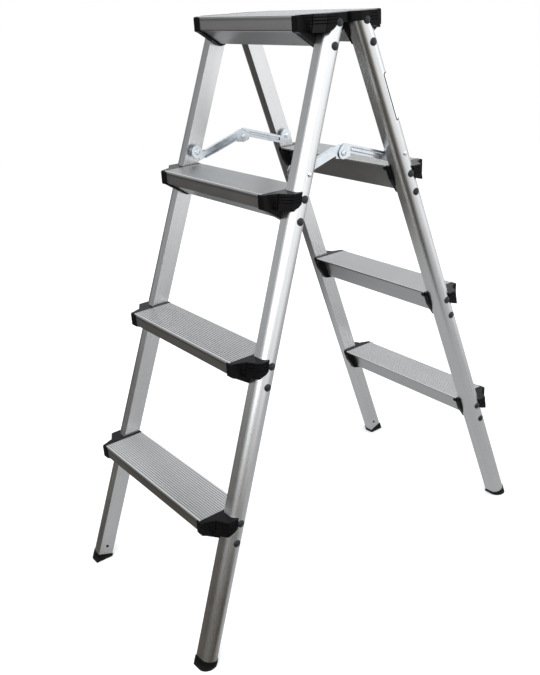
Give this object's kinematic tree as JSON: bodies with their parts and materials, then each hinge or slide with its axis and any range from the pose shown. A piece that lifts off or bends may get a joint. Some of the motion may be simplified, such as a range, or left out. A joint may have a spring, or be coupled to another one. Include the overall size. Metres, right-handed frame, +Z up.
{
  "type": "platform step ladder",
  "caption": "Double-sided folding aluminium step ladder with fluted box treads, platform top, black corner brackets and jointed spreader stays.",
  "frame": {"origin": "on the ground under the middle of the open ladder", "axes": "+Z up, X along the treads, -Y the front frame, +Y the rear frame"},
  "size_m": [0.4428, 0.8436, 1.059],
  "materials": {
    "rail_aluminium": "mill-finish extruded tube, faint lengthwise grain",
    "tread_aluminium": "extruded, satin, fluted deck",
    "bracket_plastic": "moulded black, slight sheen",
    "foot_plastic": "moulded black",
    "pin_steel": "turned",
    "dark_rivet": "black coated rivet head",
    "zinc_steel": "bright zinc plate",
    "white_label": "blank white sticker with a dark edge"
  },
  "bodies": {
    "front_frame": {"rail_front_left": "rail_aluminium", "foot_front_left": "foot_plastic", "rail_front_right": "rail_aluminium", "foot_front_right": "foot_plastic", "tread_front_1": "tread_aluminium", "tread_front_2": "tread_aluminium", "tread_front_3": "tread_aluminium", "platform_front": "tread_aluminium", "bracket_front_1_left": "bracket_plastic", "bracket_front_1_right": "bracket_plastic", "bracket_front_2_left": "bracket_plastic", "bracket_front_2_right": "bracket_plastic", "bracket_front_3_left": "bracket_plastic", "bracket_front_3_right": "bracket_plastic", "hinge_bracket_front_left": "bracket_plastic", "hinge_bracket_front_right": "bracket_plastic", "hinge_pin_left": "pin_steel", "hinge_pin_right": "pin_steel", "rivets_front_left": "dark_rivet", "rivets_front_right": "dark_rivet", "stay_pivot_front_left": "zinc_steel", "stay_pivot_front_right": "zinc_steel"},
    "rear_frame": {"rail_rear_left": "rail_aluminium", "foot_rear_left": "foot_plastic", "rail_rear_right": "rail_aluminium", "foot_rear_right": "foot_plastic", "tread_rear_1": "tread_aluminium", "tread_rear_2": "tread_aluminium", "tread_rear_3": "tread_aluminium", "platform_rear": "tread_aluminium", "bracket_rear_1_left": "bracket_plastic", "bracket_rear_1_right": "bracket_plastic", "bracket_rear_2_left": "bracket_plastic", "bracket_rear_2_right": "bracket_plastic", "bracket_rear_3_left": "bracket_plastic", "bracket_rear_3_right": "bracket_plastic", "hinge_bracket_rear_left": "bracket_plastic", "hinge_bracket_rear_right": "bracket_plastic", "rivets_rear_left": "dark_rivet", "rivets_rear_right": "dark_rivet", "stay_pivot_rear_left": "zinc_steel", "stay_pivot_rear_right": "zinc_steel", "blank_label": "white_label"},
    "stay_front_link_left": {"stay_front_left": "zinc_steel", "stay_mid_rivet_left": "zinc_steel"},
    "stay_rear_link_left": {"stay_rear_left": "zinc_steel", "stay_rear_head_left": "zinc_steel"},
    "stay_front_link_right": {"stay_front_right": "zinc_steel", "stay_mid_rivet_right": "zinc_steel"},
    "stay_rear_link_right": {"stay_rear_right": "zinc_steel", "stay_rear_head_right": "zinc_steel"}
  },
  "joints": [
    {"name": "frame_fold", "type": "hinge", "parent": "front_frame", "child": "rear_frame", "pos_m": [0, 0, 1.04], "axis": [-1, 0, 0], "range_deg": [0, 39.4]},
    {"name": "stay_front_pivot_left", "type": "hinge", "parent": "front_frame", "child": "stay_front_link_left", "pos_m": [-0.146, -0.10962, 0.821], "axis": [1, 0, 0], "range_deg": [0, 48.11]},
    {"name": "stay_mid_joint_left", "type": "hinge", "parent": "stay_front_link_left", "child": "stay_rear_link_left", "pos_m": [-0.147, 0, 0.834], "axis": [-1, 0, 0], "range_deg": [0, 135.62]},
    {"name": "stay_front_pivot_right", "type": "hinge", "parent": "front_frame", "child": "stay_front_link_right", "pos_m": [0.146, -0.10962, 0.821], "axis": [1, 0, 0], "range_deg": [0, 48.11]},
    {"name": "stay_mid_joint_right", "type": "hinge", "parent": "stay_front_link_right", "child": "stay_rear_link_right", "pos_m": [0.147, 0, 0.834], "axis": [-1, 0, 0], "range_deg": [0, 135.62]}
  ],
  "couplings": [
    {"joint": "stay_front_pivot_left", "follows": "frame_fold", "ratio": 1.2209},
    {"joint": "stay_mid_joint_left", "follows": "frame_fold", "ratio": 3.4417},
    {"joint": "stay_front_pivot_right", "follows": "frame_fold", "ratio": 1.2209},
    {"joint": "stay_mid_joint_right", "follows": "frame_fold", "ratio": 3.4417}
  ]
}
